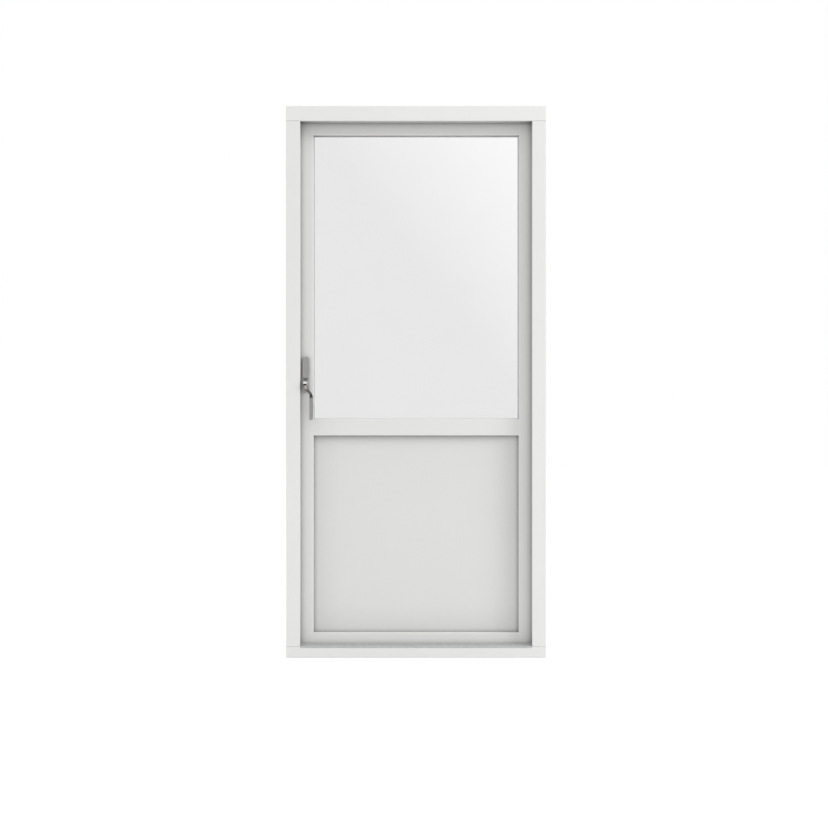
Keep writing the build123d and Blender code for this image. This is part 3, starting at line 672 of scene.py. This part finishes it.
def make_floor():
    """A pale floor that takes the door's shadow. It throws none, so the painted crease shade in the paint
    doesn't see it.
    """
    shader = Shader("floor_paint")
    mottle = shader.spread(shader.noise(1.5), 0.0, 1.0)
    shader.plug("Base Color", shader.mix(mottle, FLOOR_PALE, FLOOR_DULL))
    shader.plug("Roughness", 0.9)
    shader.plug("Specular IOR Level", 0.0)
    seen = shader.node("ShaderNodeLightPath").outputs["Is Camera Ray"]
    shader.plug("Emission Color", WHITE)
    shader.plug("Emission Strength", shader.times(seen, FLOOR_GLOW))
    work = bmesh.new()
    bmesh.ops.create_grid(work, x_segments=2, y_segments=2, size=FLOOR_HALF)
    mesh = finished(work, "floor")
    mesh.materials.append(shader.material)
    floor = bpy.data.objects.new("floor", mesh)
    bpy.context.scene.collection.objects.link(floor)
    floor.visible_shadow = False


def make_world():
    """White for the camera and through glass, the room's gradient for gloss, and even light from above."""
    world = bpy.data.worlds.new("studio")
    bpy.context.scene.world = world
    world.use_nodes = True
    tree = world.node_tree
    tree.nodes.clear()

    def add(kind, inputs=(), **settings):
        return add_node(tree, kind, inputs, **settings)

    def reckon(operation, a, b):
        return add("ShaderNodeMath", {0: a, 1: b}, operation=operation).outputs[0]

    def ramp(value, start, end, low, high):
        return add("ShaderNodeMapRange", {
            "Value": value, "From Min": start, "From Max": end, "To Min": low, "To Max": high,
        }).outputs["Result"]

    def background(strength):
        return add("ShaderNodeBackground", {"Color": WHITE, "Strength": strength}).outputs[0]

    def blend(share, first, second):
        return add("ShaderNodeMixShader", {0: share, 1: first, 2: second}).outputs[0]

    rays = add("ShaderNodeLightPath").outputs
    direction = add("ShaderNodeTexCoord").outputs["Generated"]
    slant = add("ShaderNodeVectorMath", {0: direction, 1: ROOM_SLANT.normalized()}, operation="DOT_PRODUCT")
    height = slant.outputs["Value"]
    fade = ramp(height, ROOM_START, ROOM_END, ROOM_DARK, ROOM_LIGHT)
    ceiling = ramp(height, CEILING_START, CEILING_END, 1.0, CEILING_LIGHT)
    upward = add("ShaderNodeSeparateXYZ", {"Vector": direction}).outputs["Z"]
    lit = background(reckon("MULTIPLY", reckon("GREATER_THAN", upward, 0.0), AMBIENT))
    mirrored = background(reckon("MULTIPLY", fade, ceiling))
    seen = background(1.0)
    shiny = reckon("MAXIMUM", rays["Is Glossy Ray"], rays["Is Transmission Ray"])
    never_mirrored = reckon("SUBTRACT", 1.0, reckon("MINIMUM", rays["Glossy Depth"], 1.0))
    through = reckon("MULTIPLY", rays["Is Transmission Ray"], never_mirrored)
    direct = reckon("MAXIMUM", rays["Is Camera Ray"], through)
    add("ShaderNodeOutputWorld", {"Surface": blend(direct, blend(shiny, lit, mirrored), seen)})


def make_key_light():
    lamp = bpy.data.lights.new("key", "AREA")
    lamp.energy, lamp.size = KEY_POWER, KEY_SIZE
    key = bpy.data.objects.new("key", lamp)
    azimuth, elevation = math.radians(KEY_AZIMUTH), math.radians(KEY_ELEVATION)
    sideways, forwards = math.sin(azimuth), -math.cos(azimuth)
    level = math.cos(elevation)
    towards = Vector((sideways * level, forwards * level, math.sin(elevation)))
    key.location = KEY_AIM + towards * KEY_DISTANCE
    key.rotation_euler = (-towards).to_track_quat("-Z", "Y").to_euler()
    bpy.context.scene.collection.objects.link(key)


def make_camera():
    lens = bpy.data.cameras.new("camera")
    lens.lens = CAMERA_LENS
    camera = bpy.data.objects.new("camera", lens)
    frame_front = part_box("frame_head")[0].y
    camera.location = (CAMERA_X, frame_front - CAMERA_DISTANCE, CAMERA_HEIGHT)
    camera.rotation_euler = (math.radians(90), 0.0, 0.0)
    bpy.context.scene.collection.objects.link(camera)
    bpy.context.scene.camera = camera


make_floor()
make_world()
make_key_light()
make_camera()
bpy.context.scene.view_settings.view_transform = "Standard"
